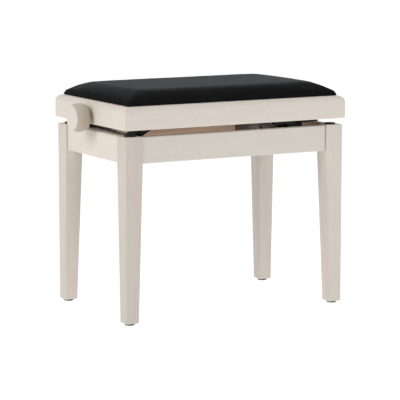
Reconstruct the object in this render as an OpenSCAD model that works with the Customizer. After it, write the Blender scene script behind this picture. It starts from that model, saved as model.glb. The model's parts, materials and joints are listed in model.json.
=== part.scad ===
// Piano bench with a padded seat on a screw-driven scissor lift.
// Origin: centre of the floor plane under the glides. X runs along the bench, Y to its back, Z up.
// The seat is drawn a little above its lowest height, as it stands in daily use.

/* [Stand] */
// Length over the legs
stand_len = 542; // [440:1:660]
// Depth over the legs
stand_dep = 336; // [280:1:410]
// Length of a leg, from its foot to its top
leg_h = 401; // [330:1:490]
// Width of a leg where it is square
leg_w = 41; // [38:0.5:52]
// Width of a leg at its foot
foot_w = 30; // [24:0.5:37]
// Bevel round a leg's foot
foot_bevel = 2; // [0.5:0.5:4]
// Height of the aprons
apron_h = 57; // [50:1:70]
// Thickness of the aprons
apron_t = 19; // [15:0.5:23]
// Step from a leg's outer face in to the apron
apron_setback = 4.5; // [1:0.5:8]
// Drop from the leg tops to the apron tops
apron_drop = 1; // [0:0.5:3]
// Rounding of the aprons' long outer edges
apron_round = 3; // [1:0.5:6]
// Diameter of the dowels in the leg joints
dowel_d = 8; // [6:1:10]
// Length of a dowel
dowel_len = 30; // [20:1:36]

/* [Feet and bumpers] */
// Height of a foot glide
glide_h = 4; // [2:0.5:8]
// Diameter of a foot glide
glide_d = 22; // [14:1:24]
// Diameter of the bumper on a leg top
bumper_d = 25; // [16:1:32]
// Thickness of that bumper
bumper_t = 3; // [1:0.5:6]

/* [Seat frame] */
// Overhang of the seat frame past the legs, at each end
over_x = 4; // [0:0.5:10]
// Overhang of the seat frame past the legs, front and back
over_y = 5; // [0:0.5:10]
// Open height between the leg tops and the seat frame
seat_gap = 14.5; // [8:0.5:30]
// Height of the seat rails
rail_h = 50; // [46:1:62]
// Width of the seat rails
rail_w = 28; // [24:0.5:30]
// Radius of the rounded top edge
top_round = 14.5; // [6:0.5:18]
// Radius of the softened bottom edge
low_round = 3; // [1:0.5:5]
// Width of the rail's rebate that carries the board
rebate_w = 10; // [6:0.5:12]
// Thickness of the seat board
board_t = 9; // [6:1:12]
// Gap all round the board in its rebate
board_gap = 0.5; // [0.2:0.1:1]

/* [Cushion] */
// Step from the seat frame's outer face in to the cushion
pad_inset = 12.5; // [8:0.5:20]
// Height of the cushion at its edge
pad_edge = 9; // [4:1:16]
// Height of the cushion at its crown
pad_crown = 33; // [20:1:60]

/* [Lift] */
// Thickness of the folded sheet steel
sheet_t = 3; // [2:0.5:4]
// Thickness of the lifting arms
arm_t = 4; // [3:0.5:5]
// Width of the lifting arms
arm_w = 18; // [14:0.5:20]
// Diameter of the pivots
pivot_d = 10; // [8:0.5:12]
// Depth of the lower pivots under the leg tops
pivot_drop = 5; // [4:0.5:12]
// Height from the lower to the upper pivots with the seat as drawn
pivot_rise = 46; // [42:0.5:47]
// Distance from the left apron to the fixed pivots
pivot_inset = 12.5; // [12:0.5:20]
// Distance from the right apron to the sliding pivots
slide_inset = 87.5; // [80:0.5:120]
// Length of an arm's cranked end, measured along the bench
crank_run = 63; // [56:1:80]
// Rise of that cranked end
crank_rise = 34; // [30:0.5:35]
// Width of that cranked end
crank_w = 24.5; // [18:0.5:25]
// Travel of the sliding pivots towards the knob, from the height drawn
slide_in = 27; // [20:0.5:40]
// Travel of the sliding pivots away from the knob
slide_out = 2; // [1.5:0.5:6]
// Diameter of the rod that ties the two outer arms
tie_d = 7; // [5:0.5:8]
// Diameter of the sleeve on that rod
sleeve_d = 11; // [9:0.5:12]
// Clearance between that sleeve and the rear outer arm
sleeve_gap_rear = 11; // [4:0.5:16]
// Clearance between that sleeve and the front outer arm
sleeve_gap_front = 92; // [4:1:110]
// Height of the bar that ties the two inner arms
slide_bar_h = 36; // [20:1:40]
// Thickness of that bar
slide_bar_t = 8; // [6:1:12]
// Height of the lower rails
low_rail_h = 12; // [10:0.5:14]

/* [Spindle and knob] */
// Diameter of the spindle
spindle_d = 10; // [8:0.5:11]
// Height of the spindle above the seat frame's bottom
spindle_up = 14.5; // [14:0.5:20]
// Length of the spindle past its nut
spindle_past = 30; // [24:1:36]
// Diameter of the knob
knob_d = 62; // [44:1:70]
// Thickness of the knob
knob_t = 33; // [24:1:40]
// Space between the knob and the seat frame
knob_gap = 9; // [6:0.5:16]

/* [Clearances] */
// Radial clearance of a turning pivot
run_gap = 0.05; // [0.02:0.01:0.1]
// Clearance of a slide bush in its slot, on each side
slot_gap = 0.3; // [0.2:0.05:0.6]
// Side clearance between a leg and the lift
leg_gap = 1.2; // [1:0.1:3]
// Side clearance between neighbouring arms and rails
side_gap = 1.5; // [1.2:0.1:2.5]
// Gap between a washer and what turns beside it
face_gap = 0.15; // [0.1:0.05:0.3]

/* [Hidden] */
$fn = 64;

// Stand, measured from the centre and the floor
half_x = stand_len / 2;
half_y = stand_dep / 2;
leg_top = glide_h + leg_h;
leg_in_x = half_x - leg_w;
leg_in_y = half_y - leg_w;
apron_top = leg_top - apron_drop;
apron_z = apron_top - apron_h;
apron_out_x = half_x - apron_setback;
apron_out_y = half_y - apron_setback;
apron_in_x = apron_out_x - apron_t;
apron_in_y = apron_out_y - apron_t;
dowel_gap = 0.05;
dowel_zs = [apron_z + 15, apron_top - 15];
block_h = 18;
block_w = 22;
block_z = apron_z + 3;
corner_bolt_d = 6;
corner_bolt_hole = 6.6;
corner_bolt_z = block_z + block_h / 2;
corner_bolt_in = 25;
corner_nut_d = 11.5;
corner_nut_h = 5;
nail_d = 3;
nail_len = 12;
foot_x = half_x - foot_w / 2;
foot_y = half_y - foot_w / 2;

// Seat frame
seat_x = half_x + over_x;
seat_y = half_y + over_y;
seat_z = leg_top + seat_gap;
seat_top = seat_z + rail_h;
seat_in_x = seat_x - rail_w;
seat_in_y = seat_y - rail_w;
board_z = seat_top - board_t;
board_x = seat_in_x + rebate_w - board_gap;
board_y = seat_in_y + rebate_w - board_gap;
pad_lift = 0.3;
seat_block = 26;
seat_block_h = 18;

// Layers of the lift, counted from the leg's inner face towards the middle
lower_web_y = leg_in_y - leg_gap;
outer_arm_y = lower_web_y - sheet_t - side_gap;
inner_arm_y = outer_arm_y - arm_t - side_gap;
upper_web_y = inner_arm_y - arm_t - side_gap - 0.5;
nut_bar_y = upper_web_y - sheet_t - side_gap;

// Pivots with the seat as drawn
pivot_r = pivot_d / 2;
low_z = leg_top - pivot_drop;
high_z = low_z + pivot_rise;
left_x = -apron_in_x + pivot_inset;
right_x = apron_in_x - slide_inset;
mid_x = (left_x + right_x) / 2;
mid_z = (low_z + high_z) / 2;
end_r = pivot_r + 6;
boss_r = pivot_r + 3.5;
bush_r = pivot_r + 1.9;
slot_r = bush_r + slot_gap;
collar_r = pivot_r + 3;
ring_t = 1.2;
ring_r = pivot_r + 3;
tie_at = [left_x + pivot_r + 6.5, low_z - 1];
tie_lug_r = tie_d / 2 + 4;
slide_bolt_d = 6;
slide_bolt_z = low_z - 16;

// Lower and upper rails
low_rail_z = low_z - ring_r - sheet_t - 0.5;
low_rail_end = leg_in_x - 4;
slot_ear = slot_r + 5;
high_rail_z = seat_z + 0.5;
high_rail_left = -seat_in_x + sheet_t;
high_rail_right = seat_in_x - 4;
high_rail_tab = 12;
cross_x = seat_in_x - 47;
cross_z = low_z - 26;
flange_w = 24;
notch_x = left_x + 23;
notch_z = high_z - end_r - 4;

// Screws
screw_d = 4;
screw_pass = 4.6;
screw_head_d = 8;
screw_head_h = 2.4;
lower_screw_xs = [-0.8, -0.3, 0.3, 0.8] * low_rail_end;
upper_screw_xs = [-seat_in_x + 40, -seat_in_x + 150, 0, seat_in_x - 40];
plate_screw_ys = [-70, -30, 30, 70];
side_screw_len = 15;
upper_screw_len = sheet_t + board_t - 2;
block_screw_len = seat_block_h + board_t - 2;

// Spindle, nut and knob
spindle_r = spindle_d / 2;
spindle_z = seat_z + spindle_up;
nut_bar_t = 12;
nut_r = spindle_r + 4;
nut_flange_r = nut_r + 3.5;
nut_flange_t = 4;
nut_bar_z = spindle_z - nut_r - 2;
nut_bar_top = high_z + pivot_r + 4;
bush_wall = 3;
bush_flange_t = 1.5;
knob_back = -seat_x - knob_gap;
knob_front = knob_back - knob_t;
knob_socket = 20;
plate_z = seat_z + 1;

// Repeats and placing

module at_corner(side_x, side_y) {
    mirror([side_x < 0 ? 1 : 0, 0, 0]) mirror([0, side_y < 0 ? 1 : 0, 0]) children();
}

module at_corners() {
    for (side_x = [-1, 1], side_y = [-1, 1]) at_corner(side_x, side_y) children();
}

module front_and_back() {
    children();
    mirror([0, 1, 0]) children();
}

module rear() {
    mirror([0, 1, 0]) children();
}

module right() {
    mirror([1, 0, 0]) children();
}

// A plate drawn in X and Z, between two distances from the middle, on the front side
module front_plate(from_y, to_y) {
    translate([0, -min(from_y, to_y), 0]) rotate([90, 0, 0])
        linear_extrude(abs(to_y - from_y)) children();
}

// A round bar or ring across the bench, on the front side
module front_ring(x, z, r, from_y, to_y, bore = 0) {
    front_plate(from_y, to_y) translate([x, z]) difference() {
        circle(r);
        if (bore > 0) circle(bore);
    }
}

// A bar with round ends between two points
module link2d(a, b, w) {
    run = b - a;
    translate(a) rotate(atan2(run[1], run[0])) {
        translate([0, -w / 2]) square([norm(run), w]);
        circle(d = w);
        translate([norm(run), 0]) circle(d = w);
    }
}

// A pan-head screw whose head sits on z = 0 and whose shank goes down
module pan_screw(length) {
    cylinder(d = screw_head_d, h = screw_head_h);
    translate([0, 0, -length]) cylinder(d = screw_d, h = length + screw_head_h / 2);
}

// The hole that such a screw cuts in wood
module screw_hole(length) {
    translate([0, 0, -length]) cylinder(d = screw_d, h = length);
}

// Stand

module leg_side2d() {
    polygon([[0, foot_bevel], [foot_bevel, 0], [foot_w - foot_bevel, 0],
        [foot_w + foot_bevel * (leg_w - foot_w) / (apron_z - glide_h), foot_bevel],
        [leg_w, apron_z - glide_h], [leg_w, leg_h - 1], [leg_w - 1, leg_h],
        [1, leg_h], [0, leg_h - 1]]);
}

module dowel(length, gap = 0) {
    translate([0, 0, -length / 2 - gap]) cylinder(d = dowel_d + 2 * gap, h = length + 2 * gap);
}

// The four dowels of the leg at the right and the back
module corner_dowels(gap = 0) {
    for (z = dowel_zs) {
        translate([leg_in_x, apron_out_y - apron_t / 2, z]) rotate([0, 90, 0]) dowel(dowel_len, gap);
        translate([apron_out_x - apron_t / 2, leg_in_y, z]) rotate([90, 0, 0]) dowel(dowel_len, gap);
    }
}

// Z of the children points along the diagonal from the leg's inner corner into the leg
module on_diagonal() {
    translate([leg_in_x, leg_in_y, corner_bolt_z]) rotate([0, 0, 45]) rotate([0, 90, 0]) children();
}

module leg(side_x, side_y) {
    color("#d9d3c7") at_corner(side_x, side_y) difference() {
        translate([half_x, half_y, glide_h]) intersection() {
            mirror([1, 0, 0]) rotate([90, 0, 0]) linear_extrude(leg_w) leg_side2d();
            rotate([90, 0, -90]) linear_extrude(leg_w) leg_side2d();
        }
        corner_dowels(dowel_gap);
        on_diagonal() cylinder(d = corner_bolt_d, h = corner_bolt_in);
        translate([foot_x, foot_y, 0]) cylinder(d = nail_d, h = glide_h + nail_len);
    }
}

// A board on edge with its two outer long edges rounded, outer face at x = 0
module apron2d() {
    union() {
        translate([apron_round, 0]) square([apron_t - apron_round, apron_h]);
        translate([0, apron_round]) square([apron_t, apron_h - 2 * apron_round]);
        for (z = [apron_round, apron_h - apron_round]) translate([apron_round, z]) circle(apron_round);
    }
}

module apron_long() {
    difference() {
        translate([-leg_in_x, -apron_out_y, apron_z]) rotate([90, 0, 90])
            linear_extrude(2 * leg_in_x) apron2d();
        at_corners() corner_dowels(dowel_gap);
        lower_rail_screw_places() screw_hole(side_screw_len);
    }
}

module apron_short() {
    difference() {
        translate([-apron_out_x, leg_in_y, apron_z]) rotate([90, 0, 0])
            linear_extrude(2 * leg_in_y) apron2d();
        at_corners() corner_dowels(dowel_gap);
    }
}

module apron_front() { color("#d9d3c7") apron_long(); }
module apron_rear() { color("#d9d3c7") rear() apron_long(); }
module apron_left() { color("#d9d3c7") apron_short(); }
module apron_right() { color("#d9d3c7") right() apron_short(); }
module apron_dowels() { color("#c9a878") at_corners() corner_dowels(); }

// Braces across the inner corners, each pulled against its leg by a bolt
module corner_blocks() {
    reach = leg_in_x + leg_in_y;
    inner = reach - block_w * sqrt(2);
    color("#b39a7c") at_corners() difference() {
        translate([0, 0, block_z]) linear_extrude(block_h) polygon([
            [reach - apron_in_y, apron_in_y], [apron_in_x, reach - apron_in_x],
            [apron_in_x, inner - apron_in_x], [inner - apron_in_y, apron_in_y]]);
        on_diagonal() translate([0, 0, -2 * block_w]) cylinder(d = corner_bolt_hole, h = 3 * block_w);
    }
}

module corner_bolts() {
    tail = block_w + corner_nut_h + 5;
    color("#8c8c88") at_corners() on_diagonal()
        translate([0, 0, -tail]) cylinder(d = corner_bolt_d, h = tail + corner_bolt_in);
}

module corner_nuts() {
    color("#8c8c88") at_corners() on_diagonal() translate([0, 0, -block_w - corner_nut_h]) difference() {
        cylinder(d = corner_nut_d, h = corner_nut_h, $fn = 6);
        translate([0, 0, -1]) cylinder(d = corner_bolt_d, h = corner_nut_h + 2, $fn = 64);
    }
}

module leg_bumpers() {
    color("#1d1d1d") at_corners()
        translate([half_x - leg_w / 2, half_y - leg_w / 2, leg_top]) cylinder(d = bumper_d, h = bumper_t);
}

module foot_glides() {
    color("#3a3432") at_corners() translate([foot_x, foot_y, 0]) {
        rotate_extrude() polygon([[0, 0], [glide_d / 2 - 1.5, 0], [glide_d / 2, 1.5],
            [glide_d / 2, glide_h], [0, glide_h]]);
        translate([0, 0, glide_h - 1]) cylinder(d = nail_d, h = nail_len + 1);
    }
}

// Lift: lower rails on the aprons

module lower_rail_screw_places() {
    for (x = lower_screw_xs) translate([x, -apron_in_y + sheet_t, low_rail_z + low_rail_h * 0.6])
        rotate([-90, 0, 0]) children();
}

module slot2d(x, z) {
    link2d([x - slide_in, z], [x + slide_out, z], 2 * slot_r);
}

module lower_rail() {
    difference() {
        union() {
            front_plate(lower_web_y - sheet_t, lower_web_y) difference() {
                union() {
                    translate([left_x, low_rail_z]) square([low_rail_end - left_x, low_rail_h]);
                    translate([left_x, low_z]) circle(end_r);
                    translate([left_x, low_rail_z]) square([end_r, low_z - low_rail_z]);
                    translate([right_x - slide_in - slot_ear, low_rail_z])
                        square([slide_in + slide_out + 2 * slot_ear, low_z + slot_ear - low_rail_z]);
                }
                translate([left_x, low_z]) circle(pivot_r);
                slot2d(right_x, low_z);
            }
            translate([-low_rail_end, -apron_in_y, low_rail_z])
                cube([2 * low_rail_end, apron_in_y - lower_web_y + sheet_t, sheet_t]);
            translate([-low_rail_end, -apron_in_y, low_rail_z])
                cube([2 * low_rail_end, sheet_t, low_rail_h]);
        }
        lower_rail_screw_places() translate([0, 0, -10]) cylinder(d = screw_pass, h = 20);
    }
}

module lower_rail_front() { color("#202122") lower_rail(); }
module lower_rail_rear() { color("#202122") rear() lower_rail(); }

module lower_rail_screws() {
    color("#6f6f6c") front_and_back() lower_rail_screw_places() pan_screw(side_screw_len);
}

module lower_pivot_studs() {
    color("#8c8c88") front_and_back()
        front_ring(left_x, low_z, pivot_r, outer_arm_y - arm_t - face_gap - ring_t - 0.5, lower_web_y - 0.3);
}

module lower_pivot_washers() {
    color("#8c8c88") front_and_back()
        front_ring(left_x, low_z, boss_r, outer_arm_y + face_gap, outer_arm_y + side_gap - face_gap, pivot_r);
}

module lower_pivot_rings() {
    ring_y = outer_arm_y - arm_t - face_gap;
    color("#8c8c88") front_and_back() front_ring(left_x, low_z, ring_r, ring_y - ring_t, ring_y, pivot_r);
}

// Lift: cranked arms. An arm runs from its low end up its crank and on to its high end.

module arm2d(low_bore, mid_bore, high_bore) {
    low = [left_x, low_z];
    high = [right_x, high_z];
    crank = low + [crank_run, crank_rise];
    mid = [mid_x, mid_z];
    above_mid = crank + (high - crank) * (mid_x - crank[0]) / (high[0] - crank[0]);
    difference() {
        union() {
            link2d(low, crank, crank_w);
            link2d(crank, high, arm_w);
            link2d(mid, above_mid, 2 * boss_r);
            translate(low) circle(end_r);
            translate(high) circle(end_r - 1);
        }
        translate(low) circle(low_bore);
        translate(mid) circle(mid_bore);
        translate(high) circle(high_bore);
    }
}

module outer_arm() {
    front_plate(outer_arm_y - arm_t, outer_arm_y) difference() {
        union() {
            arm2d(pivot_r + run_gap, pivot_r + run_gap, pivot_r + run_gap);
            translate(tie_at) circle(tie_lug_r);
        }
        translate(tie_at) circle(d = tie_d);
        translate([left_x, low_z]) circle(pivot_r + run_gap);
    }
}

module inner_arm() {
    front_plate(inner_arm_y - arm_t, inner_arm_y)
        translate([left_x + right_x, 0]) mirror([1, 0]) arm2d(pivot_r, pivot_r, pivot_r + run_gap);
}

module outer_arm_front() { color("#2a2b2c") outer_arm(); }
module outer_arm_rear() { color("#2a2b2c") rear() outer_arm(); }
module inner_arm_front() { color("#2a2b2c") inner_arm(); }
module inner_arm_rear() { color("#2a2b2c") rear() inner_arm(); }

// A round rod through both outer arms, with a wider sleeve on its rear part
module outer_arm_tie() {
    clear_y = outer_arm_y - arm_t;
    sleeve_len = 2 * clear_y - sleeve_gap_rear - sleeve_gap_front;
    sleeve_back = (sleeve_gap_front - sleeve_gap_rear) / 2;
    color("#202122") translate([tie_at[0], 0, tie_at[1]]) rotate([90, 0, 0]) {
        cylinder(d = tie_d, h = 2 * outer_arm_y, center = true);
        translate([0, 0, -sleeve_back]) cylinder(d = sleeve_d, h = sleeve_len, center = true);
    }
}

module slide_bar() {
    bar_y = inner_arm_y - arm_t;
    color("#202122") difference() {
        union() {
            translate([right_x - slide_bar_t / 2, -bar_y, low_z + pivot_r - slide_bar_h])
                cube([slide_bar_t, 2 * bar_y, slide_bar_h]);
            front_and_back() front_ring(right_x, low_z, pivot_r, bar_y - 1, lower_web_y + 3);
        }
        translate([right_x - slide_bar_t, 0, slide_bolt_z]) rotate([0, 90, 0])
            cylinder(d = slide_bolt_d, h = 2 * slide_bar_t);
    }
}

module slide_bar_bolt() {
    head_h = 4;
    color("#b8913f") translate([right_x - slide_bar_t / 2, 0, slide_bolt_z]) rotate([0, 90, 0]) {
        translate([0, 0, -head_h]) cylinder(d = 2.1 * slide_bolt_d, h = head_h, $fn = 6);
        translate([0, 0, -1]) cylinder(d = slide_bolt_d, h = slide_bar_t + 4);
    }
}

module lower_slide_bushes() {
    color("#b8913f") front_and_back() {
        front_ring(right_x, low_z, collar_r, inner_arm_y, lower_web_y - sheet_t - slot_gap, pivot_r);
        front_ring(right_x, low_z, bush_r, inner_arm_y + 1, lower_web_y + slot_gap, pivot_r);
    }
}

module lower_slide_rings() {
    ring_y = lower_web_y + slot_gap;
    color("#8c8c88") front_and_back() front_ring(right_x, low_z, ring_r, ring_y, ring_y + ring_t, pivot_r);
}

module centre_rivets() {
    inside = inner_arm_y - arm_t;
    color("#8c8c88") front_and_back() {
        front_ring(mid_x, mid_z, boss_r - 1, inside - ring_t, inside);
        front_ring(mid_x, mid_z, pivot_r, inside - ring_t / 2, outer_arm_y + ring_t);
        front_ring(mid_x, mid_z, boss_r - 1, outer_arm_y + face_gap, outer_arm_y + face_gap + 2);
    }
}

module centre_washers() {
    color("#8c8c88") front_and_back()
        front_ring(mid_x, mid_z, boss_r, inner_arm_y, inner_arm_y + side_gap - face_gap, pivot_r);
}

// Lift: the bar that carries the spindle's nut, between the outer arms' high ends

module nut_bar() {
    color("#2a2b2c") difference() {
        union() {
            translate([right_x - nut_bar_t / 2, -nut_bar_y, nut_bar_z])
                cube([nut_bar_t, 2 * nut_bar_y, nut_bar_top - nut_bar_z]);
            front_and_back() front_ring(right_x, high_z, pivot_r, nut_bar_y - 1, outer_arm_y + 2.5);
        }
        translate([right_x - nut_bar_t, 0, spindle_z]) rotate([0, 90, 0])
            cylinder(r = nut_r, h = 2 * nut_bar_t);
    }
}

module spindle_nut() {
    color("#b8913f") translate([right_x - nut_bar_t / 2, 0, spindle_z]) rotate([0, 90, 0]) difference() {
        union() {
            cylinder(r = nut_r, h = nut_bar_t + 1);
            translate([0, 0, nut_bar_t]) cylinder(r = nut_flange_r, h = nut_flange_t);
        }
        translate([0, 0, -1]) cylinder(r = spindle_r + run_gap, h = nut_bar_t + nut_flange_t + 2);
    }
}

module upper_slide_bushes() {
    color("#b8913f") front_and_back() {
        front_ring(right_x, high_z, collar_r, upper_web_y + slot_gap, outer_arm_y - arm_t - face_gap,
            pivot_r);
        front_ring(right_x, high_z, bush_r, nut_bar_y + 0.5, upper_web_y + 1, pivot_r);
    }
}

module upper_slide_rings() {
    ring_y = outer_arm_y + face_gap;
    color("#8c8c88") front_and_back() front_ring(right_x, high_z, ring_r, ring_y, ring_y + ring_t, pivot_r);
}

// Seat frame

module seat_rail2d() {
    difference() {
        union() {
            translate([top_round, 0]) square([rail_w - top_round, rail_h]);
            translate([0, low_round]) square([rail_w, rail_h - low_round - top_round]);
            translate([low_round, 0]) square([rail_w - low_round, low_round]);
            translate([top_round, rail_h - top_round]) circle(top_round, $fn = 96);
            translate([low_round, low_round]) circle(low_round);
        }
        translate([rail_w - rebate_w, rail_h - board_t]) square([rebate_w + 1, board_t + 1]);
    }
}

// The plan of a rail with mitred ends, on the front side of a frame
module mitre(half_length, half_width) {
    translate([0, 0, seat_z - 1]) linear_extrude(rail_h + 2) polygon([
        [-half_length, -half_width], [half_length, -half_width],
        [half_length - rail_w, rail_w - half_width], [rail_w - half_length, rail_w - half_width]]);
}

module seat_rail_long() {
    intersection() {
        translate([-seat_x, -seat_y, seat_z]) rotate([90, 0, 90])
            linear_extrude(2 * seat_x) seat_rail2d();
        mitre(seat_x, seat_y);
    }
}

module seat_rail_short() {
    intersection() {
        translate([-seat_x, seat_y, seat_z]) rotate([90, 0, 0])
            linear_extrude(2 * seat_y) seat_rail2d();
        rotate([0, 0, -90]) mitre(seat_y, seat_x);
    }
}

module seat_rail_front() { color("#d9d3c7") seat_rail_long(); }
module seat_rail_rear() { color("#d9d3c7") rear() seat_rail_long(); }
module seat_rail_right() { color("#d9d3c7") right() seat_rail_short(); }

module seat_rail_left() {
    color("#d9d3c7") difference() {
        seat_rail_short();
        translate([-seat_x - 1, 0, spindle_z]) rotate([0, 90, 0])
            cylinder(r = spindle_r + bush_wall, h = rail_w + 2);
        bearing_screw_places() screw_hole(side_screw_len);
    }
}

module seat_board() {
    color("#b39a7c") difference() {
        translate([-board_x, -board_y, board_z]) cube([2 * board_x, 2 * board_y, board_t]);
        upper_rail_screw_places() screw_hole(upper_screw_len);
        seat_block_screw_places() screw_hole(block_screw_len);
    }
}

// Height of the crowned pad at a share t of its half width
function pad_rise(t) = pad_edge + (pad_crown - pad_edge) * pow(1 - pow(abs(t), 2.6), 0.62);

module pad_side2d(half_length) {
    steps = 28;
    polygon(concat([[half_length, 0]],
        [for (i = [steps : -1 : -steps]) [half_length * i / steps, pad_rise(i / steps)]],
        [[-half_length, 0]]));
}

module seat_cushion() {
    pad_x = seat_x - pad_inset;
    pad_y = seat_y - pad_inset;
    color("#232427") translate([0, 0, seat_top + pad_lift]) intersection() {
        translate([0, pad_y, 0]) rotate([90, 0, 0]) linear_extrude(2 * pad_y) pad_side2d(pad_x);
        translate([-pad_x, 0, 0]) rotate([90, 0, 90]) linear_extrude(2 * pad_x) pad_side2d(pad_y);
    }
}

module seat_block_screw_places() {
    inset = seat_block / 3;
    at_corners() translate([seat_in_x - inset, seat_in_y - inset, board_z - seat_block_h])
        rotate([180, 0, 0]) children();
}

module seat_corner_blocks() {
    color("#b39a7c") difference() {
        at_corners() translate([seat_in_x, seat_in_y, board_z - seat_block_h]) linear_extrude(seat_block_h)
            polygon([[0, 0], [-seat_block, 0], [0, -seat_block]]);
        seat_block_screw_places() translate([0, 0, -seat_block_h - 1])
            cylinder(d = screw_pass, h = seat_block_h + 2);
    }
}

module seat_board_screws() { color("#6f6f6c") seat_block_screw_places() pan_screw(block_screw_len); }

// Lift: upper rails under the seat board

module upper_rail_screw_places() {
    for (x = upper_screw_xs, side = [-1, 1])
        translate([x, side * (upper_web_y - flange_w / 2), board_z - sheet_t])
            rotate([180, 0, 0]) children();
}

module upper_rail() {
    difference() {
        union() {
            front_plate(upper_web_y - sheet_t, upper_web_y) difference() {
                union() {
                    translate([high_rail_left, notch_z])
                        square([high_rail_right - high_rail_left, board_z - notch_z]);
                    translate([notch_x, high_rail_z])
                        square([high_rail_right - notch_x, board_z - high_rail_z]);
                    translate([cross_x, high_rail_z - high_rail_tab])
                        square([high_rail_right - cross_x, board_z - high_rail_z]);
                }
                translate([left_x, high_z]) circle(pivot_r);
                slot2d(right_x, high_z);
            }
            translate([high_rail_left, -upper_web_y, board_z - sheet_t])
                cube([high_rail_right - high_rail_left, flange_w, sheet_t]);
        }
        upper_rail_screw_places() translate([0, 0, -10]) cylinder(d = screw_pass, h = 20);
    }
}

module upper_rail_front() { color("#202122") upper_rail(); }
module upper_rail_rear() { color("#202122") rear() upper_rail(); }
module upper_rail_screws() { color("#6f6f6c") upper_rail_screw_places() pan_screw(upper_screw_len); }

module upper_cross_right() {
    cross_y = upper_web_y - sheet_t;
    color("#202122") translate([cross_x, -cross_y, cross_z])
        cube([sheet_t, 2 * cross_y, board_z - sheet_t - cross_z]);
}

module bearing_screw_places() {
    for (y = plate_screw_ys) translate([-seat_in_x + sheet_t, y, spindle_z])
        rotate([0, 90, 0]) children();
}

module bearing_plate() {
    plate_y = upper_web_y - sheet_t;
    color("#202122") difference() {
        translate([-seat_in_x, -plate_y, plate_z])
            cube([sheet_t, 2 * plate_y, board_z - sheet_t - plate_z]);
        translate([-seat_in_x - 1, 0, spindle_z]) rotate([0, 90, 0])
            cylinder(r = spindle_r + bush_wall, h = sheet_t + 2);
        bearing_screw_places() translate([0, 0, -10]) cylinder(d = screw_pass, h = 20);
    }
}

module bearing_plate_screws() { color("#6f6f6c") bearing_screw_places() pan_screw(side_screw_len); }

module spindle_bush() {
    length = rail_w + sheet_t + bush_flange_t + 1;
    color("#b8913f") translate([-seat_x - bush_flange_t, 0, spindle_z]) rotate([0, 90, 0]) difference() {
        union() {
            cylinder(r = spindle_r + bush_wall, h = length);
            cylinder(r = spindle_r + bush_wall + 4, h = bush_flange_t);
        }
        translate([0, 0, -1]) cylinder(r = spindle_r + run_gap, h = length + 2);
    }
}

module upper_pivot_shaft() {
    shaft_y = inner_arm_y + ring_t + 1.5;
    color("#8c8c88") translate([left_x, shaft_y, high_z]) rotate([90, 0, 0])
        cylinder(r = pivot_r, h = 2 * shaft_y);
}

module upper_pivot_washers() {
    color("#8c8c88") front_and_back()
        front_ring(left_x, high_z, boss_r, upper_web_y, inner_arm_y - arm_t - face_gap, pivot_r);
}

module upper_pivot_rings() {
    ring_y = inner_arm_y + face_gap;
    color("#8c8c88") front_and_back() front_ring(left_x, high_z, ring_r, ring_y, ring_y + ring_t, pivot_r);
}

// Spindle and knob

module along_spindle(x) {
    translate([x, 0, spindle_z]) rotate([0, 90, 0]) children();
}

module spindle() {
    start = knob_back - knob_socket;
    color("#9a9a96") along_spindle(start) cylinder(r = spindle_r, h = right_x + spindle_past - start);
}

module spindle_ring() {
    color("#8c8c88") along_spindle(-seat_in_x + sheet_t + 1.5) difference() {
        cylinder(r = spindle_r + 2.5, h = 1.5);
        translate([0, 0, -1]) cylinder(r = spindle_r, h = 4);
    }
}

module knob_collar() {
    length = knob_gap - bush_flange_t - 0.3;
    color("#8c8c88") along_spindle(knob_back) difference() {
        cylinder(r = spindle_r + 6, h = length);
        translate([0, 0, -1]) cylinder(r = spindle_r, h = length + 2);
    }
}

// Radius of the turned knob at a share t of its thickness, from its back to its outer face
function knob_radius(t) = knob_d / 2 - 3.5 * pow(abs(2 * t - 0.9), 2.4);

module knob() {
    steps = 20;
    edge = 2.5;
    outline = [for (i = [0 : steps]) [knob_radius(i / steps), (knob_t - 2 * edge) * i / steps + edge]];
    color("#d9d3c7") translate([knob_back, 0, spindle_z]) rotate([0, -90, 0]) difference() {
        rotate_extrude($fn = 96) polygon(concat([[0, 0], [knob_radius(0) - edge, 0]],
            outline, [[knob_radius(1) - edge, knob_t], [0, knob_t]]));
        translate([0, 0, -1]) cylinder(r = spindle_r, h = knob_socket + 1);
    }
}

leg(-1, -1);  // leg_front_left
leg(1, -1);  // leg_front_right
leg(-1, 1);  // leg_rear_left
leg(1, 1);  // leg_rear_right
apron_front();
apron_rear();
apron_left();
apron_right();
apron_dowels();
corner_blocks();
corner_bolts();
corner_nuts();
leg_bumpers();
foot_glides();
lower_rail_front();
lower_rail_rear();
lower_rail_screws();
lower_pivot_studs();
lower_pivot_washers();
lower_pivot_rings();
outer_arm_front();
outer_arm_rear();
outer_arm_tie();
inner_arm_front();
inner_arm_rear();
slide_bar();
slide_bar_bolt();
lower_slide_bushes();
lower_slide_rings();
centre_rivets();
centre_washers();
nut_bar();
spindle_nut();
upper_slide_bushes();
upper_slide_rings();
seat_rail_front();
seat_rail_rear();
seat_rail_left();
seat_rail_right();
seat_board();
seat_cushion();
seat_corner_blocks();
seat_board_screws();
upper_rail_front();
upper_rail_rear();
upper_rail_screws();
upper_cross_right();
bearing_plate();
bearing_plate_screws();
spindle_bush();
upper_pivot_shaft();
upper_pivot_washers();
upper_pivot_rings();
spindle();
spindle_ring();
knob_collar();
knob();
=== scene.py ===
import json
import math

import bmesh
import bpy
from mathutils import Matrix, Vector, noise

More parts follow.
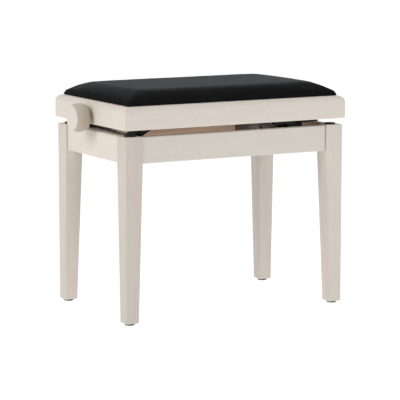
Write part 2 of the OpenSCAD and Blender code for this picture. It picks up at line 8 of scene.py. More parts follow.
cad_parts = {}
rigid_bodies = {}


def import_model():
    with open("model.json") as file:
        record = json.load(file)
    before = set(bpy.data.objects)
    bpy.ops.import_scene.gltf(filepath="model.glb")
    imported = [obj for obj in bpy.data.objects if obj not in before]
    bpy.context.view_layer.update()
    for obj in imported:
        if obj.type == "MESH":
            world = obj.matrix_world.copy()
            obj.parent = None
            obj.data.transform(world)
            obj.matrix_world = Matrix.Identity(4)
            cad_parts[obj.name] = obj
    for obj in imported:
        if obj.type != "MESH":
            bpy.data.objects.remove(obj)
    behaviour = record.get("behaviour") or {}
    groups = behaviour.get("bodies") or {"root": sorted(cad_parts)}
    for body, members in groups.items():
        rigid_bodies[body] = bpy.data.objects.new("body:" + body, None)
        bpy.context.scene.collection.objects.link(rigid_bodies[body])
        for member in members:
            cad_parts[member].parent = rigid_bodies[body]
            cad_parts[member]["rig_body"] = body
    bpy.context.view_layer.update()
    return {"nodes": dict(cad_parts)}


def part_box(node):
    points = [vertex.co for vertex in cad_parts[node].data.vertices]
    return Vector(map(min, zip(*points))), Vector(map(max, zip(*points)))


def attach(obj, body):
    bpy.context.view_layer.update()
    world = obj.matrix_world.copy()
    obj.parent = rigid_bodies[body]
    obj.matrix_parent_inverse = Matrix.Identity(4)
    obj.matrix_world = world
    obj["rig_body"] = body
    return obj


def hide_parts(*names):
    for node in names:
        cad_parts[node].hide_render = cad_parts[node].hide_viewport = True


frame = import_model()


# Camera. It stands low and far off, to the left of the bench's front.

camera_place = (-2.1381, -3.8628, 0.8983)
camera_dip = 8.587
camera_turn = -28.974
lens = bpy.data.cameras.new("camera")
lens.lens = 178.35
lens.sensor_width = 36
lens.clip_end = 100
camera = bpy.data.objects.new("camera", lens)
camera.location = camera_place
camera.rotation_euler = (math.radians(90 - camera_dip), 0, math.radians(camera_turn))
bpy.context.scene.collection.objects.link(camera)
bpy.context.scene.camera = camera
bpy.context.scene.view_settings.view_transform = "Standard"


# Materials. A finish is one Principled shader and the nodes that feed it.

class Value:
    """Something that changes over a surface. Arithmetic on it adds Math nodes to its finish."""

    def __init__(self, finish, socket):
        self.finish = finish
        self.socket = socket

    def reckon(self, operation, *terms):
        return self.finish.node("ShaderNodeMath", {"operation": operation}, dict(enumerate(terms)))

    def __add__(self, other):
        return self.reckon("ADD", self, other)

    def __radd__(self, other):
        return self.reckon("ADD", other, self)

    def __sub__(self, other):
        return self.reckon("SUBTRACT", self, other)

    def __mul__(self, other):
        return self.reckon("MULTIPLY", self, other)

    def __rmul__(self, other):
        return self.reckon("MULTIPLY", other, self)


class Finish:
    """A material round one Principled shader, whose even settings are given by socket name."""

    def __init__(self, name, **even):
        self.material = bpy.data.materials.new(name)
        self.material.use_nodes = True
        self.tree = self.material.node_tree
        self.shader = self.tree.nodes["Principled BSDF"]
        for setting, value in even.items():
            socket_name = setting.replace("_", " ").title().replace("Ior", "IOR")
            self.shader.inputs[socket_name].default_value = value
        self.place = self.node("ShaderNodeTexCoord", {}, {}, "Object")

    def node(self, kind, settings, inputs, output=0):
        made = self.tree.nodes.new(kind)
        for name, value in settings.items():
            setattr(made, name, value)
        for name, value in inputs.items():
            if isinstance(value, Value):
                self.tree.links.new(value.socket, made.inputs[name])
            else:
                made.inputs[name].default_value = value
        return Value(self, made.outputs[output])

    def noise(self, place, scale, detail=2.0, rough=0.5, twist=0.0):
        """Smooth noise from 0 to 1, whose patches are about 1 / scale across."""
        inputs = {"Vector": place, "Scale": scale, "Detail": detail, "Roughness": rough,
                  "Distortion": twist}
        return self.node("ShaderNodeTexNoise", {}, inputs, "Fac")

    def stretch(self, scale, shift=(0, 0, 0)):
        """The place on the piece, moved by shift and squeezed by scale along each axis."""
        inputs = {"Vector": self.place, "Location": shift, "Scale": scale}
        return self.node("ShaderNodeMapping", {}, inputs)

    def between(self, low, high, value, colour=None):
        """A value brought from low..high to 0..1, and on to a pair of colours if one is given."""
        share = self.node("ShaderNodeMapRange", {}, {0: value, 1: low, 2: high})
        if colour is None:
            return share
        return self.mix(share, *colour)

    def mix(self, share, first, second):
        inputs = {"Factor": share, 6: self.opaque(first), 7: self.opaque(second)}
        return self.node("ShaderNodeMix", {"data_type": "RGBA"}, inputs, 2)

    def opaque(self, colour):
        return colour if isinstance(colour, Value) else (*colour, 1)

    def feed(self, name, value):
        self.tree.links.new(value.socket, self.shader.inputs[name])

    def bump(self, height, strength, distance):
        settings = {"Height": height, "Strength": strength, "Distance": distance}
        self.feed("Normal", self.node("ShaderNodeBump", {}, settings))


# Floor and studio. A plain pale floor in a soft white surround, with a large soft light on the
# left, another in front and a larger one overhead, behind the bench.

floor_reach = 40
floor_glow = 0.86
surround_strength = 0.46
floor_form = bmesh.new()
bmesh.ops.create_grid(floor_form, x_segments=1, y_segments=1, size=floor_reach)
floor_mesh = bpy.data.meshes.new("floor")
floor_form.to_mesh(floor_mesh)
floor_form.free()
floor = bpy.data.objects.new("floor", floor_mesh)
bpy.context.scene.collection.objects.link(floor)
floor_finish = Finish("floor_white", emission_strength=floor_glow)
floor_tone = floor_finish.noise(floor_finish.place, 1.5)
floor_greys = ((0.28, 0.28, 0.28), (0.32, 0.32, 0.32))
floor_finish.feed("Base Color", floor_finish.between(0, 1, floor_tone, floor_greys))
floor_finish.shader.inputs["Emission Color"].default_value = (1, 1, 1, 1)
floor_finish.shader.inputs["Roughness"].default_value = 0.9
floor_mesh.materials.append(floor_finish.material)

surround = bpy.data.worlds.new("surround")
surround.use_nodes = True
surround.node_tree.nodes["Background"].inputs["Color"].default_value = (1, 1, 1, 1)
surround.node_tree.nodes["Background"].inputs["Strength"].default_value = surround_strength
bpy.context.scene.world = surround


def soft_light(name, place, aim, size, watts):
    lamp = bpy.data.lights.new(name, "AREA")
    lamp.shape = "DISK"
    lamp.size = size
    lamp.energy = watts
    light = bpy.data.objects.new(name, lamp)
    light.location = place
    light.rotation_euler = (Vector(aim) - Vector(place)).to_track_quat("-Z", "Y").to_euler()
    bpy.context.scene.collection.objects.link(light)


soft_light("light_left", (-1.7, -0.3, 1.3), (0, 0, 0.40), 1.0, 11)
soft_light("light_front", (1.0, -1.6, 1.4), (0, 0, 0.40), 1.0, 8)
soft_light("light_top", (0.2, 1.2, 2.6), (0, 0, 0.50), 1.8, 14)


# Legs. Four square solid beech legs, tapered below the aprons on their two inner faces, stained
# white so that the grain still shows, and varnished matt. Their arrises are sanded soft.

merge_distance = 2e-6
sharp_angle = 31


def make_piece(form, node, finishes):
    """Turns a finished form into the piece that stands for a CAD node and rides where it rides."""
    bmesh.ops.remove_doubles(form, verts=form.verts, dist=merge_distance)
    bmesh.ops.recalc_face_normals(form, faces=form.faces)
    for face in form.faces:
        face.smooth = True
    mesh = bpy.data.meshes.new(f"{node}_made")
    form.to_mesh(mesh)
    form.free()
    mesh.set_sharp_from_angle(angle=math.radians(sharp_angle))
    for finish in finishes:
        mesh.materials.append(finish.material)
    piece = bpy.data.objects.new(mesh.name, mesh)
    bpy.context.scene.collection.objects.link(piece)
    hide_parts(node)
    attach(piece, frame["nodes"][node]["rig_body"])


def limewash(name, grain, seed, warmth=0.5, shade=1.0, brown=0.0):
    """White-stained beech with its grain along one axis. Warmth is from 0, greenish, to 1, pinkish.
    Shade darkens the whole colour: on each member it is partly the wood's own tone and partly painted
    shade for the light that member gets. Brown warms the colour as painted shade; only the knob's
    barrel uses it."""
    finish = Finish(name, specular_ior_level=0.35)
    shift = (3.1 * seed, 1.7 * seed, 2.3 * seed)

    def along(length):
        return finish.stretch([1 / length if axis == grain else 1 for axis in "XYZ"], shift)

    clouds = finish.noise(along(3), 16, 2, 0.5)
    figure = finish.noise(along(14), 120, 3, 0.55, 0.25)
    fibre = finish.noise(along(34), 900, 3, 0.6)
    pores = finish.between(0.60, 0.74, finish.noise(along(16), 1500, 1))
    pale = [(0.775 + 0.03 * warmth) * shade, 0.735 * shade, (0.672 - 0.012 * warmth) * shade]
    deep = [(0.672 + 0.035 * warmth) * shade, 0.622 * shade, (0.548 - 0.01 * warmth) * shade]
    # Painted shade: brown dims green and blue, giving the warm, dark look of a shaded face.
    shade_browning = [1, 1 - 0.10 * brown, 1 - 0.22 * brown]
    pale, deep = ([level * left for level, left in zip(colour, shade_browning)] for colour in (pale, deep))
    filled = [0.50 * shade, 0.435 * shade, 0.365 * shade]
    tone = finish.between(0.28, 0.80, figure * 0.50 + fibre * 0.28 + clouds * 0.22)
    wood = finish.mix(finish.between(0.0, 1.0, tone * 0.8), pale, deep)
    finish.feed("Base Color", finish.mix(pores * 0.30, wood, filled))
    finish.feed("Roughness", 0.50 + 0.16 * fibre - 0.05 * clouds)
    finish.bump(0.6 * fibre + 0.4 * figure - 0.9 * pores, 0.20, 0.0006)
    return finish


def scaled_block(low, high):
    """A form holding one block between two corners."""
    form = bmesh.new()
    bmesh.ops.create_cube(form, size=1)
    bmesh.ops.scale(form, vec=high - low, verts=form.verts)
    bmesh.ops.translate(form, vec=(low + high) / 2, verts=form.verts)
    return form


def drawn_outline(points, way):
    """A form holding the solid that a flat outline makes when it is drawn out along a vector."""
    form = bmesh.new()
    form.faces.new([form.verts.new(point) for point in points])
    drawn = bmesh.ops.extrude_face_region(form, geom=form.faces[:])
    far_end = [v for v in drawn["geom"] if isinstance(v, bmesh.types.BMVert)]
    bmesh.ops.translate(form, vec=way, verts=far_end)
    return form


def soften(form, edges, width, segments=2):
    bmesh.ops.bevel(form, geom=edges, offset=width, segments=segments, profile=0.5, affect="EDGES",
                    material=-1, clamp_overlap=True)


leg_arris = 0.0012
foot_chamfer = 0.002
foot_width = 0.030
near = 1e-4
long_edge = 0.03
taper_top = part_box("apron_front")[0].z
# Each leg's warmth and shade. The shade darkens the leg's whole colour, partly for the beech's own
# tone and partly as painted shade on the legs that get less light.
leg_warmth_and_shade = {"leg_front_left": (0.75, 0.83), "leg_front_right": (0.7, 0.91),
             "leg_rear_left": (0.8, 0.87), "leg_rear_right": (0.7, 0.85)}
for seed, (node, tint) in enumerate(leg_warmth_and_shade.items()):
    low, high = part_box(node)
    side = Vector((math.copysign(1, low.x), math.copysign(1, low.y)))
    outer = Vector((max(abs(low.x), abs(high.x)), max(abs(low.y), abs(high.y))))
    leg = scaled_block(low, high)
    bmesh.ops.bisect_plane(leg, geom=leg.verts[:] + leg.edges[:] + leg.faces[:],
                           plane_co=(0, 0, taper_top), plane_no=(0, 0, 1))
    for vertex in leg.verts:
        if vertex.co.z < low.z + near:
            vertex.co.x = side.x * max(abs(vertex.co.x), outer.x - foot_width)
            vertex.co.y = side.y * max(abs(vertex.co.y), outer.y - foot_width)
    soften(leg, [e for e in leg.edges if all(v.co.z < low.z + near for v in e.verts)], foot_chamfer, 1)
    upright = [e for e in leg.edges if abs(e.verts[0].co.z - e.verts[1].co.z) > long_edge]
    rim = [e for e in leg.edges if all(v.co.z > high.z - near for v in e.verts)]
    soften(leg, upright + rim, leg_arris)
    make_piece(leg, node, [limewash(node + "_wood", "Z", seed, *tint)])


# Aprons. Four beech boards on edge between the legs, a little inside the legs' outer faces. Their
# long outer edges are rounded, a narrow groove parts each end's face from the leg, and their inner
# faces are left unstained.

def bare_wood(name, grain, seed, shade=1.0):
    """Unstained beech with flecks and a brown tint, its grain along one axis."""
    finish = Finish(name, specular_ior_level=0.3)
    shift = (1.3 * seed, 2.9 * seed, 0.7 * seed)

    def along(length):
        return finish.stretch([1 / length if axis == grain else 1 for axis in "XYZ"], shift)

    figure = finish.noise(along(18), 150, 4, 0.6, 0.4)
    fibre = finish.noise(along(30), 800, 2)
    flecks = finish.between(0.62, 0.72, finish.noise(along(7), 900, 1))
    light = [0.60 * shade, 0.425 * shade, 0.305 * shade]
    dark = [0.40 * shade, 0.262 * shade, 0.178 * shade]
    wood = finish.mix(finish.between(0.3, 0.72, figure * 0.65 + fibre * 0.35), light, dark)
    flecked = [0.27 * shade, 0.17 * shade, 0.11 * shade]
    finish.feed("Base Color", finish.mix(flecks * 0.35, wood, flecked))
    finish.feed("Roughness", 0.62 + 0.2 * fibre)
    finish.bump(fibre + 0.5 * flecks, 0.25, 0.0005)
    return finish


apron_round = 0.003
apron_arris = 0.0006
groove_width = 0.0014
groove_depth = 0.004
inner_brown = bare_wood("apron_inner_long", "X", 1)
inner_brown_short = bare_wood("apron_inner_short", "Y", 2)
# Each apron's grain axis, outward side, warmth and shade. The shade is partly the board's own tone and
# partly painted shade for the light each board gets.
aprons = {"apron_front": ("X", (0, -1), (0.10, 0.93)), "apron_rear": ("X", (0, 1), (0.3, 0.94)),
          "apron_left": ("Y", (-1, 0), (0.7, 0.965)), "apron_right": ("Y", (1, 0), (0.5, 0.94))}
for seed, (node, (grain, outwards, tint)) in enumerate(aprons.items(), 5):
    low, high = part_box(node)
    half = (high - low) / 2
    half_long, half_thick = (half.x, half.y) if grain == "X" else (half.y, half.x)
    step_long, step_thick = half_long - groove_width, half_thick - groove_depth
    plan = [(-half_long, -half_thick), (half_long, -half_thick), (half_long, step_thick),
            (step_long, step_thick), (step_long, half_thick), (-step_long, half_thick),
            (-step_long, step_thick), (-half_long, step_thick)]
    apron = drawn_outline([(x, y, low.z) for x, y in plan], (0, 0, high.z - low.z))
    bmesh.ops.recalc_face_normals(apron, faces=apron.faces)
    for face in apron.faces:
        is_inner = face.normal.y < -0.5 and face.calc_center_median().y < near - half_thick
        face.material_index = int(is_inner)
    level = [e for e in apron.edges if abs(e.verts[0].co.z - e.verts[1].co.z) < near
             and abs(e.verts[0].co.x - e.verts[1].co.x) > half_long]
    outer_edges = [e for e in level if e.verts[0].co.y > 0]
    soften(apron, [e for e in level if e.verts[0].co.y < 0], apron_arris)
    soften(apron, [e for e in outer_edges if e.is_valid], apron_round, 6)
    turn = math.atan2(outwards[1], outwards[0]) - math.pi / 2
    bmesh.ops.rotate(apron, cent=(0, 0, 0), matrix=Matrix.Rotation(turn, 3, "Z"), verts=apron.verts)
    middle = ((low.x + high.x) / 2, (low.y + high.y) / 2, 0)
    bmesh.ops.translate(apron, vec=middle, verts=apron.verts)
    make_piece(apron, node, [limewash(node + "_wood", grain, seed, *tint),
                             inner_brown if grain == "X" else inner_brown_short])


# Corner joints. Beech dowels hold the aprons to the legs, and a beech block across each inner corner
# is pulled against its leg by a zinc-plated bolt and nut.

flat_angle = 0.5
box_edge = 0.6
round_edge = 0.9
block_arris = 0.0008
bumper_arris = 0.0007
bar_arris = 0.0006
sheet_arris = 0.0005
nut_arris = 0.0004
screw_arris = 0.0003
ring_arris = 0.0002


def dress(node, finish):
    """Gives a CAD node a finish."""
    mesh = frame["nodes"][node].data
    mesh.materials.clear()
    mesh.materials.append(finish.material)


def machined(node, finish, arris, sharp=box_edge):
    """Stands a copy of a CAD node in its place, with its edges softened as tumbling leaves them
    wherever the faces turn by more than the angle sharp, in radians."""
    form = bmesh.new()
    form.from_mesh(frame["nodes"][node].data)
    bmesh.ops.remove_doubles(form, verts=form.verts, dist=merge_distance)
    bmesh.ops.dissolve_limit(form, angle_limit=math.radians(flat_angle), verts=form.verts,
                             edges=form.edges)
    hard = [e for e in form.edges if e.is_manifold and e.calc_face_angle() > sharp]
    soften(form, hard, arris)
    make_piece(form, node, [finish])


plain_beech = bare_wood("plain_beech", "X", 3, 1.1)
dress("apron_dowels", plain_beech)

zinc_plate = Finish("zinc_plate", metallic=1.0)
zinc_cloud = zinc_plate.noise(zinc_plate.place, 180, 3)
zinc_grit = zinc_plate.noise(zinc_plate.place, 2600, 2)
zinc_greys = ((0.50, 0.51, 0.52), (0.66, 0.66, 0.65))
zinc_plate.feed("Base Color", zinc_plate.between(0.25, 0.75, zinc_cloud, zinc_greys))
zinc_plate.feed("Roughness", 0.26 + 0.20 * zinc_cloud)
zinc_plate.bump(zinc_grit, 0.15, 0.0002)
machined("corner_blocks", plain_beech, block_arris)
machined("corner_bolts", zinc_plate, bar_arris)
machined("corner_nuts", zinc_plate, nut_arris)


# Feet and bumpers. A nailed plastic glide is under each leg, and a soft black rubber disc on each
# leg's top stops the seat when it comes down.

rubber = Finish("bumper_rubber", specular_ior_level=0.3)
rubber_grain = rubber.noise(rubber.place, 1800, 3)
rubber_blacks = ((0.012, 0.012, 0.013), (0.03, 0.03, 0.03))
rubber.feed("Base Color", rubber.between(0.3, 0.7, rubber_grain, rubber_blacks))
rubber.feed("Roughness", 0.62 + 0.2 * rubber_grain)
rubber.bump(rubber_grain, 0.25, 0.0003)
machined("leg_bumpers", rubber, bumper_arris, round_edge)

glide_plastic = Finish("glide_plastic")
scuffs = glide_plastic.noise(glide_plastic.stretch((1, 1, 6)), 420, 4, 0.6)
glide_blacks = ((0.022, 0.02, 0.02), (0.075, 0.068, 0.062))
glide_plastic.feed("Base Color", glide_plastic.between(0.35, 0.75, scuffs, glide_blacks))
glide_plastic.feed("Roughness", 0.38 + 0.3 * scuffs)
glide_plastic.bump(scuffs, 0.12, 0.0003)
machined("foot_glides", glide_plastic, nut_arris, round_edge)


# Lower rails. Two folded sheet-steel channels inside the long aprons, powder coated black and
# screwed on. The lift's fixed pivots and its lower slides are in their upstanding webs.

def powder_coat(name, gloss=0.32):
    """Black powder coat: a fine orange-peel skin that is dulled where it has been handled."""
    finish = Finish(name, specular_ior_level=0.5)
    peel = finish.noise(finish.place, 900, 2)
    dull = finish.noise(finish.place, 22, 3, 0.6)
    dust = finish.between(0.62, 0.85, finish.noise(finish.place, 260, 4, 0.7))
    black = finish.mix(finish.between(0.3, 0.7, dull), (0.010, 0.010, 0.011), (0.022, 0.022, 0.023))
    finish.feed("Base Color", finish.mix(dust * 0.35, black, (0.09, 0.085, 0.08)))
    finish.feed("Roughness", gloss - 0.06 + 0.16 * dull + 0.12 * dust)
    finish.bump(peel, 0.10, 0.0003)
    return finish


black_coat = powder_coat("black_coat")
for node in ("lower_rail_front", "lower_rail_rear"):
    machined(node, black_coat, sheet_arris)
machined("lower_rail_screws", zinc_plate, screw_arris)
for node in ("lower_pivot_studs", "lower_pivot_washers", "lower_pivot_rings"):
    machined(node, zinc_plate, ring_arris, round_edge)


# Scissor arms. Laser-cut flat steel, black coated and riveted together at the middle. A sleeved rod
# ties the outer pair, and a thick bar with a brass bolt ties the inner pair and slides in the
# lower rails on bronze bushes.

arm_coat = powder_coat("arm_coat", 0.28)
for node in ("outer_arm_front", "outer_arm_rear", "inner_arm_front", "inner_arm_rear"):
    machined(node, arm_coat, sheet_arris)
burnished = Finish("burnished_steel", metallic=1.0)
burnish = burnished.noise(burnished.stretch((1, 0.1, 1)), 300, 2)
burnished_greys = ((0.20, 0.20, 0.205), (0.34, 0.34, 0.345))
burnished.feed("Base Color", burnished.between(0.3, 0.7, burnish, burnished_greys))
burnished.feed("Roughness", 0.20 + 0.14 * burnish)
burnished.bump(burnish, 0.10, 0.0002)
machined("outer_arm_tie", burnished, sheet_arris, round_edge)
machined("slide_bar", arm_coat, bar_arris, round_edge)
machined("lower_slide_rings", arm_coat, ring_arris, round_edge)
for node in ("centre_rivets", "centre_washers"):
    machined(node, zinc_plate, ring_arris, round_edge)


def brass_like(name, bright, tarnished):
    """A turned copper alloy between two colours, tarnished in patches."""
    finish = Finish(name, metallic=1.0)
    turning = finish.noise(finish.stretch((4, 1, 1)), 1500, 2)
    tarnish = finish.noise(finish.place, 90, 4, 0.6)
    finish.feed("Base Color", finish.between(0.35, 0.75, tarnish, (bright, tarnished)))
    finish.feed("Roughness", 0.22 + 0.22 * tarnish + 0.08 * turning)
    finish.bump(turning, 0.12, 0.0002)
    return finish


brass = brass_like("turned_brass", (0.78, 0.57, 0.25), (0.50, 0.33, 0.14))
bronze = brass_like("oiled_bronze", (0.14, 0.105, 0.065), (0.06, 0.045, 0.03))
machined("slide_bar_bolt", brass, nut_arris, round_edge)
machined("lower_slide_bushes", bronze, ring_arris, round_edge)


# Nut carriage. A square steel bar between the outer arms' high ends, which carries the spindle's
# brass nut and slides in the upper rails on bronze bushes.

machined("nut_bar", arm_coat, bar_arris, round_edge)
machined("spindle_nut", brass, nut_arris, round_edge)
machined("upper_slide_bushes", bronze, ring_arris, round_edge)
machined("upper_slide_rings", arm_coat, ring_arris, round_edge)


# Seat frame. Four limewashed beech rails, mitred and glued at the corners, with a large roundover
# on top. A rebate inside their top edge takes the seat board.

seat_low, seat_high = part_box("seat_rail_front")
seat_half = Vector((seat_high.x, -seat_low.y))
rail_width = seat_high.y - seat_low.y
rail_height = seat_high.z - seat_low.z
rebate = Vector((0.010, seat_high.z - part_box("seat_board")[0].z))
corner_steps = 5
top_round = 0.0145
bottom_round = 0.003
corner_round = 0.0016
# Each rail's turn, warmth and shade. The shade is partly the rail's own tone and partly painted shade
# for the light each rail gets.
rails = {"seat_rail_front": (0, 0.6, 0.955), "seat_rail_right": (90, 0.5, 0.95),
         "seat_rail_rear": (180, 0.5, 0.95), "seat_rail_left": (270, 0.85, 0.93)}
for seed, (node, (turn, warmth, shade)) in enumerate(rails.items(), 11):
    length, depth = seat_half if turn % 180 == 0 else seat_half.yx
    inside = rail_width - rebate.x
    section = [(0, 0), (rail_width, 0), (rail_width, rail_height - rebate.y),
               (inside, rail_height - rebate.y), (inside, rail_height), (0, rail_height)]
    outline = [(-length, y - depth, seat_low.z + z) for y, z in section]
    rail = drawn_outline(outline, (2 * length, 0, 0))

    def outer_edges_at(z):
        return [e for e in rail.edges
                if all(abs(v.co.y + depth) < near and abs(v.co.z - z) < near for v in e.verts)]

    soften(rail, outer_edges_at(seat_high.z), top_round, 12)
    soften(rail, outer_edges_at(seat_low.z), bottom_round, 5)
    for end in (-1, 1):
        corner = Vector((end * length, -depth, 0))
        cuts = [(corner, Vector((end, 1, 0)))]
        middle_of_round = corner + corner_round * Vector((-end, 1, 0))
        for step in range(1, corner_steps + 1):
            angle = math.radians(90 * step / (corner_steps + 1))
            normal = Vector((end * math.cos(angle), -math.sin(angle), 0))
            cuts.append((middle_of_round + corner_round * normal, normal))
        for point, normal in cuts:
            bmesh.ops.bisect_plane(rail, geom=rail.verts[:] + rail.edges[:] + rail.faces[:],
                                   plane_co=point, plane_no=normal, clear_outer=True)
            bmesh.ops.holes_fill(rail, edges=[e for e in rail.edges if e.is_boundary])
    bmesh.ops.rotate(rail, cent=(0, 0, 0), matrix=Matrix.Rotation(math.radians(turn), 3, "Z"),
                     verts=rail.verts)
    grain = "X" if turn % 180 == 0 else "Y"
    make_piece(rail, node, [limewash(node + "_wood", grain, seed, warmth, shade)])

machined("seat_board", plain_beech, bar_arris)
machined("seat_corner_blocks", plain_beech, block_arris)
machined("seat_board_screws", zinc_plate, screw_arris)


# Upper rails. Two folded steel rails under the seat board, with a cross plate near their right end
# and a bearing plate for the spindle at the left.

for node in ("upper_rail_front", "upper_rail_rear", "upper_cross_right", "bearing_plate"):
    machined(node, black_coat, sheet_arris)
for node in ("upper_rail_screws", "bearing_plate_screws"):
    machined(node, zinc_plate, screw_arris)
for node in ("upper_pivot_shaft", "upper_pivot_washers", "upper_pivot_rings"):
    machined(node, zinc_plate, ring_arris, round_edge)
machined("spindle_bush", brass, screw_arris, round_edge)


# Cushion. Foam on the seat board under black short-pile velvet, pulled over the board's edge and
# gathered at each corner. The cloth is blown up a little over a pinned base, smoothed and creased.

pad_low, pad_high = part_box("seat_cushion")
pad_half = (pad_high - pad_low) / 2
spread = 0.0015
tuck = 0.0020
crown = 0.0258
edge_height = 0.0158
shoulder = 0.062
pinned_height = 0.003
still_height = 0.005
most = 0.005
corner_power = 4
fall_power = 2.5
block_cuts = 47
cloth_cell = 0.005
cloth_pressure = 2
cloth_frames = 20
smoothing_rounds = 16


def pad_surface(x, y, level):
    """Height of a point of the flat block once shaped: level is 0 at the base and 1 on top."""
    fall_x = max(0, 1 - (pad_half.x - abs(x)) / shoulder)
    fall_y = max(0, 1 - (pad_half.y - abs(y)) / shoulder)
    fall = min(1, (fall_x ** corner_power + fall_y ** corner_power) ** (1 / corner_power))
    return pad_low.z + level * (crown - (crown - edge_height) * fall ** fall_power)


cushion_form = bmesh.new()
bmesh.ops.create_cube(cushion_form, size=1)
bmesh.ops.subdivide_edges(cushion_form, edges=cushion_form.edges[:], cuts=block_cuts,
                          use_grid_fill=True)
for vertex in cushion_form.verts:
    level = vertex.co.z + 0.5
    pull = tuck * (1 - min(1, level * 2)) ** 2 - spread
    x = 2 * vertex.co.x * (pad_half.x - pull)
    y = 2 * vertex.co.y * (pad_half.y - pull)
    vertex.co = (x, y, pad_surface(x, y, level))
bmesh.ops.recalc_face_normals(cushion_form, faces=cushion_form.faces)
cushion_mesh = bpy.data.meshes.new("velvet_cushion")
cushion_form.to_mesh(cushion_mesh)
cushion_form.free()
cushion = bpy.data.objects.new("velvet_cushion", cushion_mesh)
bpy.context.scene.collection.objects.link(cushion)
remesh = cushion.modifiers.new("even_cloth", "REMESH")
remesh.mode = "VOXEL"
remesh.voxel_size = cloth_cell


def apply_modifiers(piece):
    """Gives a piece the mesh that its modifiers make, and takes them off."""
    shown = piece.evaluated_get(bpy.context.evaluated_depsgraph_get())
    mesh = bpy.data.meshes.new_from_object(shown)
    piece.modifiers.clear()
    piece.data = mesh


apply_modifiers(cushion)
flat = [v.co.copy() for v in cushion.data.vertices]
pinned = cushion.vertex_groups.new(name="tacked_base")
tacked = [i for i, point in enumerate(flat) if point.z < pad_low.z + pinned_height]
pinned.add(tacked, 1.0, "REPLACE")
cloth = cushion.modifiers.new("velvet", "CLOTH")
cloth.settings.use_pressure = True
cloth.settings.uniform_pressure_force = cloth_pressure
cloth.settings.effector_weights.gravity = 0
cloth.settings.tension_stiffness = 12
cloth.settings.compression_stiffness = 12
cloth.settings.bending_stiffness = 0.6
cloth.settings.vertex_group_mass = pinned.name
cloth.collision_settings.use_collision = False
for step in range(1, cloth_frames + 1):
    bpy.context.scene.frame_set(step)
apply_modifiers(cushion)
bpy.context.scene.frame_set(1)
for vertex, start in zip(cushion.data.vertices, flat):
    moved = vertex.co - start
    if moved.length > most:
        vertex.co = start + moved.normalized() * most

settled = bmesh.new()
settled.from_mesh(cushion.data)
for _ in range(smoothing_rounds):
    loose = [v for v in settled.verts if v.co.z > pad_low.z + still_height]
    bmesh.ops.smooth_vert(settled, verts=loose, factor=0.5, use_axis_x=True, use_axis_y=True,
                          use_axis_z=True)
settled.to_mesh(cushion.data)
settled.free()

# Each corner has one crease along its diagonal and a shallow hollow a little way in, and the whole
# cover ripples slightly, less so on top.

crease_depth = 0.0004
crease_width = 0.0045
crease_length = 0.030
hollow_depth = 0.0008
hollow_width = 0.014
hollow_place = 0.016
hollow_length = 0.012
ripple_depth = 0.0005
broad_ripple = 22
fine_ripple = 60
rising_height = 0.008
flat_top_reach = 0.05
overhang = 0.004
headroom = 0.001
for vertex in cushion.data.vertices:
    rising = min(1, (vertex.co.z - pad_low.z) / rising_height)
    reach = Vector((pad_half.x - abs(vertex.co.x), pad_half.y - abs(vertex.co.y)))
    across = abs(reach.x - reach.y) / math.sqrt(2)
    inwards = (reach.x + reach.y) / math.sqrt(2)
    crease = math.exp(-(across / crease_width) ** 2) * math.exp(-(inwards / crease_length) ** 2)
    hollow = math.exp(-(across / hollow_width) ** 2)
    hollow *= math.exp(-((inwards - hollow_place) / hollow_length) ** 2)
    ripple = noise.noise(Vector((vertex.co.x * broad_ripple, vertex.co.y * broad_ripple, 4.7)))
    ripple += 0.5 * noise.noise(Vector((vertex.co.x * fine_ripple, vertex.co.y * fine_ripple, 1.3)))
    inner = min(1, max(0, min(reach) / flat_top_reach))
    sink = (crease_depth * crease + hollow_depth * hollow) * rising
    sink += ripple_depth * ripple * rising * (1 - 0.5 * inner)
    vertex.co.z = max(pad_low.z, min(pad_high.z + headroom, vertex.co.z - sink))
    vertex.co.x = max(-pad_half.x - overhang, min(pad_half.x + overhang, vertex.co.x))
    vertex.co.y = max(-pad_half.y - overhang, min(pad_half.y + overhang, vertex.co.y))

velvet = Finish("black_velvet", sheen_weight=0.26, sheen_roughness=0.23, specular_ior_level=0.08)
velvet.shader.inputs["Sheen Tint"].default_value = (0.90, 0.94, 0.97, 1)
stroked = velvet.noise(velvet.stretch((1, 1.8, 1)), 13, 4, 0.55, 0.6)
lay = velvet.noise(velvet.stretch((1, 2.6, 1)), 70, 3, 0.6)
pile = velvet.noise(velvet.place, 2600, 2)
nap = velvet.between(0.25, 0.75, 0.6 * stroked + 0.22 * lay + 0.18 * pile)
velvet.feed("Base Color", velvet.mix(nap, (0.0022, 0.0022, 0.0025), (0.0085, 0.0086, 0.0095)))
velvet.feed("Roughness", 0.78 + 0.2 * stroked)
velvet.bump(pile + 0.5 * lay, 0.35, 0.0004)
cushion.data.materials.append(velvet.material)
for polygon in cushion.data.polygons:
    polygon.use_smooth = True
smoothing = cushion.modifiers.new("smooth_cloth", "SUBSURF")
smoothing.levels = 1
smoothing.render_levels = 1
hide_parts("seat_cushion")
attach(cushion, "seat")


# Spindle. A zinc-plated steel rod with a rolled trapezoidal thread from its bearing to its free
# end, and a pinned collar and a spring ring that keep it in the seat frame.

spindle_low, spindle_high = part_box("spindle")
spindle_height = (spindle_low.z + spindle_high.z) / 2
spindle_radius = (spindle_high.z - spindle_low.z) / 2
pitch = 0.003
thread_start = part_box("spindle_ring")[1].x + 0.002
turns = int((spindle_high.x - thread_start) / pitch) - 1
root = spindle_radius - 0.5 * pitch
steps_per_turn = 20
spindle_sides = 40


def turned(form, profile, steps):
    """Spins a profile of (x, radius) points round the spindle's axis into a closed solid."""
    points = [form.verts.new((x, 0, spindle_height + radius)) for x, radius in profile]
    edges = [form.edges.new(pair) for pair in zip(points, points[1:])]
    bmesh.ops.spin(form, geom=points + edges, cent=(0, 0, spindle_height), axis=(1, 0, 0),
                   angle=2 * math.pi, steps=steps, use_merge=True)
    bmesh.ops.remove_doubles(form, verts=form.verts, dist=merge_distance)


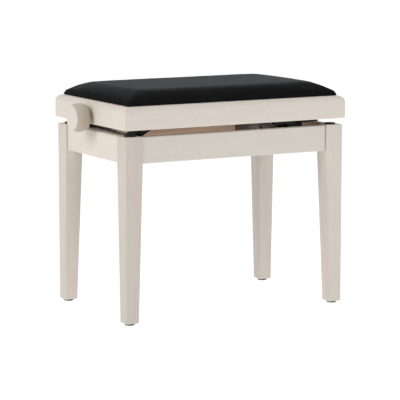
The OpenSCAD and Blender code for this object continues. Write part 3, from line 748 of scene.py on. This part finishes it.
spindle = bmesh.new()
bevel = 0.0008
turned(spindle, [(spindle_low.x, 0), (spindle_low.x, spindle_radius - bevel),
                 (spindle_low.x + bevel, spindle_radius), (thread_start - bevel, spindle_radius),
                 (thread_start, root), (spindle_high.x - bevel, root), (spindle_high.x, root - bevel),
                 (spindle_high.x, 0)], spindle_sides)
sunk = 0.0003
ridge = [(0.22, -sunk), (0.36, 0.5 * pitch), (0.64, 0.5 * pitch), (0.78, -sunk)]
ridge_points = [spindle.verts.new((thread_start + pitch * x, 0, spindle_height + root + rise))
                for x, rise in ridge]
ridge_edges = [spindle.edges.new((ridge_points[i - 1], ridge_points[i])) for i in range(4)]
bmesh.ops.spin(spindle, geom=ridge_points + ridge_edges, cent=(0, 0, spindle_height), axis=(1, 0, 0),
               dvec=(pitch / steps_per_turn, 0, 0), angle=2 * math.pi * turns,
               steps=turns * steps_per_turn)
bmesh.ops.holes_fill(spindle, edges=[e for e in spindle.edges if e.is_boundary])
make_piece(spindle, "spindle", [zinc_plate])
machined("spindle_ring", zinc_plate, screw_arris, round_edge)
machined("knob_collar", zinc_plate, sheet_arris, round_edge)


# Knob. A turned beech knob with a barrel-shaped side and a flat outer face, stained as the frame is
# and pressed on the spindle. Its barrel and back take a darker, browner copy of the face's finish as
# painted shade.

knob_low, knob_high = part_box("knob")
knob_radius = (knob_high.z - knob_low.z) / 2
knob_length = knob_high.x - knob_low.x
face_edge = 0.0025
knob_sides = 96
barrel_steps = 20
barrel_drop = 0.0035
barrel = []
for step in range(barrel_steps + 1):
    share = step / barrel_steps
    radius = knob_radius - barrel_drop * abs(2 * share - 0.9) ** 2.4
    barrel.append((knob_high.x - face_edge - (knob_length - 2 * face_edge) * share, radius))


def rounded(x, radius, x_way, steps=5):
    """A quarter circle from the barrel's end in to a flat face."""
    angles = [math.radians(90 * i / steps) for i in range(1, steps + 1)]
    return [(x + x_way * face_edge * math.sin(angle), radius - face_edge * (1 - math.cos(angle)))
            for angle in angles]


knob = bmesh.new()
turned(knob, [(knob_high.x, 0)] + rounded(*barrel[0], 1)[::-1] + barrel + rounded(*barrel[-1], -1)
       + [(knob_low.x, 0)], knob_sides)
# The outer face and its rounded rim take the face's finish. The barrel and back take the darker,
# browner copy, which is painted shade.
for face in knob.faces:
    face.material_index = int(face.calc_center_median().x > knob_low.x + face_edge)
make_piece(knob, "knob", [limewash("knob_face_wood", "Z", 21, 0.6, 0.92),
                          limewash("knob_barrel_painted_shade_wood", "Z", 21, 0.9, 0.66, 0.55)])
